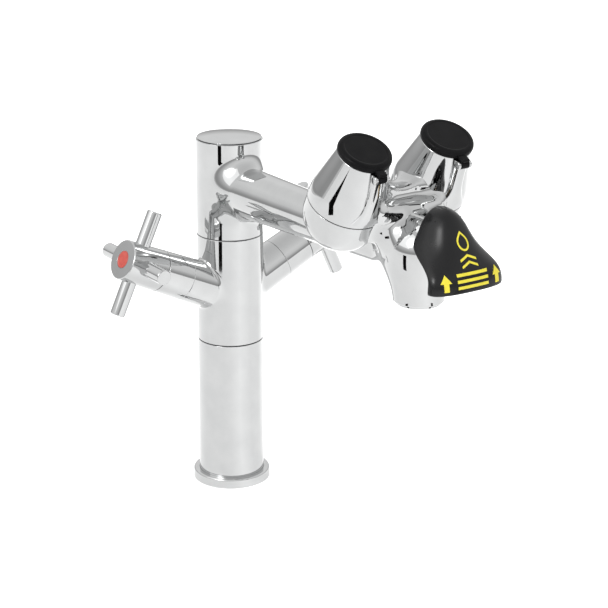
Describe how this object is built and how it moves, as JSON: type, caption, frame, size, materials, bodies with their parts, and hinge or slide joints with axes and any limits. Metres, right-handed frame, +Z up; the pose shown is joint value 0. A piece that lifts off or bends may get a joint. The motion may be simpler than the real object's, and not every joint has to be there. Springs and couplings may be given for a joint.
{
  "type": "laboratory eyewash faucet",
  "caption": "Deck-mounted chrome mixer faucet with cross handles and a swivel spout that carries an aerated outlet, a lift paddle and capped emergency eyewash heads.",
  "frame": {"origin": "where the column axis meets the deck, at the mouth of the centre stud hole", "axes": "+Z up the column, -Y along the spout at rest, +X towards the cold valve and -X towards the hot valve"},
  "size_m": [0.2068, 0.3285, 0.3203],
  "materials": {
    "chrome": "polished chrome plate on brass",
    "brass": "machined brass",
    "copper": "drawn copper",
    "steel": "plain stainless steel",
    "seal_rubber": "matte black rubber",
    "bearing_plastic": "dark low-friction plastic",
    "ceramic": "lapped ceramic",
    "hot_red": "red index plastic",
    "cold_blue": "blue index plastic",
    "white_plastic": "pale moulded plastic",
    "filter_foam": "open-cell filter foam",
    "paddle_black": "gloss black moulded plastic",
    "cap_black": "satin black moulded plastic"
  },
  "bodies": {
    "base": {"deck_gasket": "seal_rubber", "base_flange": "chrome", "riser_tube": "chrome", "base_plug": "brass", "hot_supply_pipe": "copper", "cold_supply_pipe": "copper", "riser_joint_washer": "seal_rubber", "valve_body": "chrome", "swivel_post": "brass", "swivel_o_rings": "seal_rubber", "swivel_washer": "bearing_plastic", "hot_headwork": "brass", "cold_headwork": "brass", "hot_seat_disc": "ceramic", "cold_seat_disc": "ceramic", "hot_bonnet": "chrome", "cold_bonnet": "chrome", "retaining_screw": "steel"},
    "spout": {"spout_casting": "chrome", "swivel_bushes": "bearing_plastic", "top_cap": "chrome", "aerator_sleeve": "chrome", "aerator_insert": "white_plastic", "head_nipples": "brass", "diverter_bush": "brass", "diverter_spring": "steel", "paddle_pivot_pin": "steel", "left_head_bowl": "chrome", "left_seam_seal": "seal_rubber", "left_head_shell": "chrome", "left_filter_pad": "filter_foam", "left_spray_plate": "white_plastic", "left_hinge_bracket": "chrome", "left_hinge_pin": "steel", "right_head_bowl": "chrome", "right_seam_seal": "seal_rubber", "right_head_shell": "chrome", "right_filter_pad": "filter_foam", "right_spray_plate": "white_plastic", "right_hinge_bracket": "chrome", "right_hinge_pin": "steel"},
    "hot_handle": {"hot_spindle": "brass", "hot_turning_disc": "ceramic", "hot_handle_hub": "chrome", "hot_handle_spokes": "chrome", "hot_handle_screw": "steel", "hot_index_button": "hot_red"},
    "cold_handle": {"cold_spindle": "brass", "cold_turning_disc": "ceramic", "cold_handle_hub": "chrome", "cold_handle_spokes": "chrome", "cold_handle_screw": "steel", "cold_index_button": "cold_blue"},
    "diverter": {"diverter_stem": "brass", "diverter_link_pin": "steel"},
    "paddle": {"lift_paddle": "paddle_black"},
    "left_cap": {"left_dust_cap": "cap_black"},
    "right_cap": {"right_dust_cap": "cap_black"}
  },
  "joints": [
    {"name": "spout_swivel", "type": "hinge", "parent": "base", "child": "spout", "pos_m": [0, 0, 0.1976], "axis": [0, 0, 1], "range_deg": [-60, 60]},
    {"name": "hot_handle_turn", "type": "hinge", "parent": "base", "child": "hot_handle", "pos_m": [0, 0, 0.1496], "axis": [-0.9078, 0, 0.4195], "range_deg": [0, 90]},
    {"name": "cold_handle_turn", "type": "hinge", "parent": "base", "child": "cold_handle", "pos_m": [0, 0, 0.1496], "axis": [0.9078, 0, 0.4195], "range_deg": [-90, 0]},
    {"name": "paddle_lift", "type": "hinge", "parent": "spout", "child": "paddle", "pos_m": [0, -0.256, 0.266], "axis": [-1, 0, 0], "range_deg": [0, 30]},
    {"name": "diverter_pull", "type": "slide", "parent": "spout", "child": "diverter", "axis": [0, -1, 0], "range_m": [0, 0.0085], "deforming": ["diverter_spring"]},
    {"name": "left_cap_flip", "type": "hinge", "parent": "spout", "child": "left_cap", "pos_m": [-0.0337, -0.23211, 0.29623], "axis": [1, 0, 0], "range_deg": [0, 110]},
    {"name": "right_cap_flip", "type": "hinge", "parent": "spout", "child": "right_cap", "pos_m": [0.0337, -0.23211, 0.29623], "axis": [1, 0, 0], "range_deg": [0, 110]}
  ],
  "couplings": [
    {"joint": "diverter_pull", "follows": "paddle_lift", "m_per_rad": 0.0155}
  ]
}
